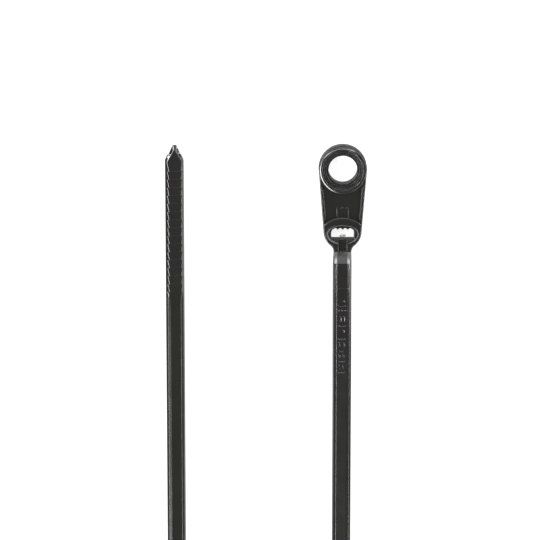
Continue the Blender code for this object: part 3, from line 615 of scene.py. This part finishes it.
# Each ring of a mark, from its foot up: how far it is drawn in, and its height, as shares
MARK_RINGS = ((0.0, -0.1), (0.0, 0.02), (0.12, 0.14), (0.88, 0.92), (1.0, 1.0))
mark_station, mark_across, mark_length, mark_width = (MARKS[:, [k]] for k in range(4))
mark_turn = np.linspace(0.0, 2 * math.pi, 24, endpoint=False)[None]
cosine, sine = np.cos(mark_turn), np.sin(mark_turn)
mark_rings = []
for drawn_in, up in MARK_RINGS:
    # A rounded rectangle: a circle of the corner's radius, pushed out to the four corners
    less = drawn_in * MARK_EDGE + MARK_CORNER
    out_x, out_y = mark_width - less, mark_length - less
    x = mark_across + np.sign(cosine) * out_x + MARK_CORNER * cosine
    y = -mark_station - np.sign(sine) * out_y - MARK_CORNER * sine
    z = np.full_like(x, STRAP_THICKNESS - INSERT_STEP + MARK_PROUD * up)
    mark_rings.append(np.stack([x, y, z], axis=-1))
mark_points = lay_down(np.stack(mark_rings, axis=1))
mark_numbers = np.arange(mark_points[..., 0].size).reshape(mark_points.shape[:3])
mark_faces = []
for number in mark_numbers:
    here, there = number[:-1], number[1:]
    quads = np.stack([here, there, np.roll(there, -1, axis=1), np.roll(here, -1, axis=1)], axis=-1)
    mark_faces += quads.reshape(-1, 4).tolist() + [number[0].tolist(), number[-1][::-1].tolist()]
add_piece("mould_marks", mark_points.reshape(-1, 3), mark_faces, NYLON)

# Locking barb
# A strip of stainless steel pushed into a slit on the neck side of the slot, bent up so that its sharp end
# digs into the tail. Rolled along its length and cut square, with the cut's fine burr worn off.
BARB_WIDTH, BARB_THICKNESS = 1.5 * MM, 0.3 * MM
BARB_PROUD, BARB_SET_IN = 1.6 * MM, 1.75 * MM
BARB_SLOPE, BARB_HEIGHT = math.radians(35), 2.2 * MM
BARB_EDGE_LOSS, BARB_SOFTNESS = 0.65, 0.04 * MM


def rolled_steel():
    """Rolled stainless strip: fine lines along it, and cloudy patches that are a little duller."""
    material, shader, place = new_material("barb_steel")
    lines_at = place.node("ShaderNodeMapping", 0, Vector=place, Scale=(1.0, 0.05, 1.0))
    lines = place.node("ShaderNodeTexNoise", 0, Vector=lines_at, Scale=9000.0, Detail=2.0)
    clouds = place.node("ShaderNodeTexNoise", 0, Vector=place, Scale=1500.0, Detail=2.0)
    colour = place.node(
        "ShaderNodeMix",
        2,
        {"data_type": "RGBA"},
        Factor=clouds * 0.6 + lines * 0.4,
        _6=(0.66, 0.65, 0.63, 1.0),
        _7=(0.84, 0.83, 0.80, 1.0),
    )
    roughness = 0.42 + clouds * 0.14 + lines * 0.08
    relief = place.node("ShaderNodeBump", 0, Strength=0.2, Distance=0.01 * MM, Height=lines)
    tree = place.tree
    tree.links.new(colour.socket, shader.inputs["Base Color"])
    tree.links.new(roughness.socket, shader.inputs["Roughness"])
    tree.links.new(relief.socket, shader.inputs["Normal"])
    shader.inputs["Metallic"].default_value = 1.0
    return material


barb_reach = np.linspace(-BARB_SET_IN, BARB_PROUD, 40)
# Over the last thickness of its length, the underside rises to the sharp end
edge_run = np.clip((barb_reach - BARB_PROUD + BARB_THICKNESS) / BARB_THICKNESS, 0.0, 1.0)
barb_top = np.full_like(barb_reach, BARB_THICKNESS / 2)
barb_low = barb_top - BARB_THICKNESS * (1.0 - BARB_EDGE_LOSS * edge_run)
barb_half = np.full_like(barb_reach, BARB_WIDTH / 2)
barb_outline = np.stack(
    [
        np.stack([-barb_half, barb_low], axis=-1),
        np.stack([barb_half, barb_low], axis=-1),
        np.stack([barb_half, barb_top], axis=-1),
        np.stack([-barb_half, barb_top], axis=-1),
    ],
    axis=1,
)
barb_profile = rounded(barb_outline, BARB_SOFTNESS, 5)
along = barb_reach[:, None]
barb_grid = np.stack(
    [
        barb_profile[..., 0],
        -SLOT_END + along * math.cos(BARB_SLOPE) - barb_profile[..., 1] * math.sin(BARB_SLOPE),
        BARB_HEIGHT + along * math.sin(BARB_SLOPE) + barb_profile[..., 1] * math.cos(BARB_SLOPE),
    ],
    axis=-1,
)
skin("locking_barb_strip", lay_down(barb_grid), rolled_steel(), "locking_barb", False)

# Table, light and camera
# A plain white table and a dim pale sky. Strip lamps on both sides and behind draw the lines along the
# bevels and grips and the arcs on lip and shoulder, and three low lamps in front light the neck's ramp.
TARGET = np.array([1.05, 53.11, 2.0]) * MM
PITCH = math.radians(12)
LENS, SENSOR, FRAME_WIDTH = 200.0, 36.0, 136.4 * MM
TABLE_HALF, TABLE_DROP = 4.0, 0.01 * MM
TABLE_GREY, TABLE_WHITE, SKY_STRENGTH = 0.35, 0.86, 0.17
LAMP_DISTANCE, LAMP_AIM_Y = 0.9, 0.05

floor_mesh = bpy.data.meshes.new("table")
floor_sides = ((-1, -1), (1, -1), (1, 1), (-1, 1))
floor_corners = [(x * TABLE_HALF, y * TABLE_HALF, -TABLE_DROP) for x, y in floor_sides]
floor_mesh.from_pydata(floor_corners, [], [(0, 1, 2, 3)])
floor = bpy.data.objects.new("table", floor_mesh)
bpy.context.scene.collection.objects.link(floor)
paper, paper_shader, paper_place = new_material("white_table")
paper_shader.inputs["Base Color"].default_value = (TABLE_GREY, TABLE_GREY, TABLE_GREY, 1.0)
paper_shader.inputs["Roughness"].default_value = 0.9
# The camera and shiny surfaces see the table as one even white
paths = ("Is Camera Ray", "Is Glossy Ray", "Is Transmission Ray")
seen = sum(paper_place.node("ShaderNodeLightPath", name) for name in paths)
dark, white = (0.0, 0.0, 0.0, 1.0), (TABLE_WHITE, TABLE_WHITE, TABLE_WHITE, 1.0)
glow = paper_place.node("ShaderNodeMix", 2, {"data_type": "RGBA"}, Factor=seen, _6=dark, _7=white)
paper_place.tree.links.new(glow.socket, paper_shader.inputs["Emission Color"])
paper_shader.inputs["Emission Strength"].default_value = 1.0
floor_mesh.materials.append(paper)

world = bpy.data.worlds.new("studio")
world.use_nodes = True
sky = world.node_tree.nodes["Background"]
sky.inputs["Color"].default_value = (1.0, 1.0, 1.0, 1.0)
sky.inputs["Strength"].default_value = SKY_STRENGTH
bpy.context.scene.world = world


def soft_lamp(name, bearing, elevation, height, length, radiance):
    """A soft lamp at one distance from the tie, facing it: bearing from +X and elevation in degrees.

    Height and length are the lamp's sizes in metres, and its power is pi x radiance x area.
    """
    lamp = bpy.data.lights.new(name, "AREA")
    lamp.shape = "RECTANGLE"
    lamp.size, lamp.size_y = length, height
    lamp.energy = math.pi * radiance * height * length
    obj = bpy.data.objects.new(name, lamp)
    turn, climb = math.radians(bearing), math.radians(elevation)
    run, height_up = LAMP_DISTANCE * math.cos(climb), LAMP_DISTANCE * math.sin(climb)
    obj.location = (run * math.cos(turn), LAMP_AIM_Y + run * math.sin(turn), height_up)
    # At rest a lamp faces down with its length along X: tip it up by 90 - elevation, then turn it round Z
    obj.rotation_euler = (math.pi / 2 - climb, 0.0, turn + math.pi / 2)
    bpy.context.scene.collection.objects.link(obj)


soft_lamp("left_strip", 200, 52, 0.14, 2.2, 16.0)
soft_lamp("right_strip", 350, 32, 0.12, 2.0, 14.0)
soft_lamp("back_strip", 100, 67, 0.1, 0.9, 10.0)
soft_lamp("front_lamp", 270, 14, 0.35, 1.2, 1.0)
soft_lamp("left_front", 242, 7, 0.2, 0.35, 6.0)
soft_lamp("right_front", 298, 7, 0.2, 0.35, 6.0)

camera_data = bpy.data.cameras.new("camera")
camera_data.lens, camera_data.sensor_width = LENS, SENSOR
camera = bpy.data.objects.new("camera", camera_data)
camera_distance = FRAME_WIDTH * LENS / SENSOR
camera.location = TARGET + camera_distance * np.array([0.0, math.sin(PITCH), math.cos(PITCH)])
camera.rotation_euler = (-PITCH, 0.0, 0.0)
camera_data.clip_start = 0.01
bpy.context.scene.collection.objects.link(camera)
bpy.context.scene.camera = camera
bpy.context.scene.view_settings.view_transform = "Standard"
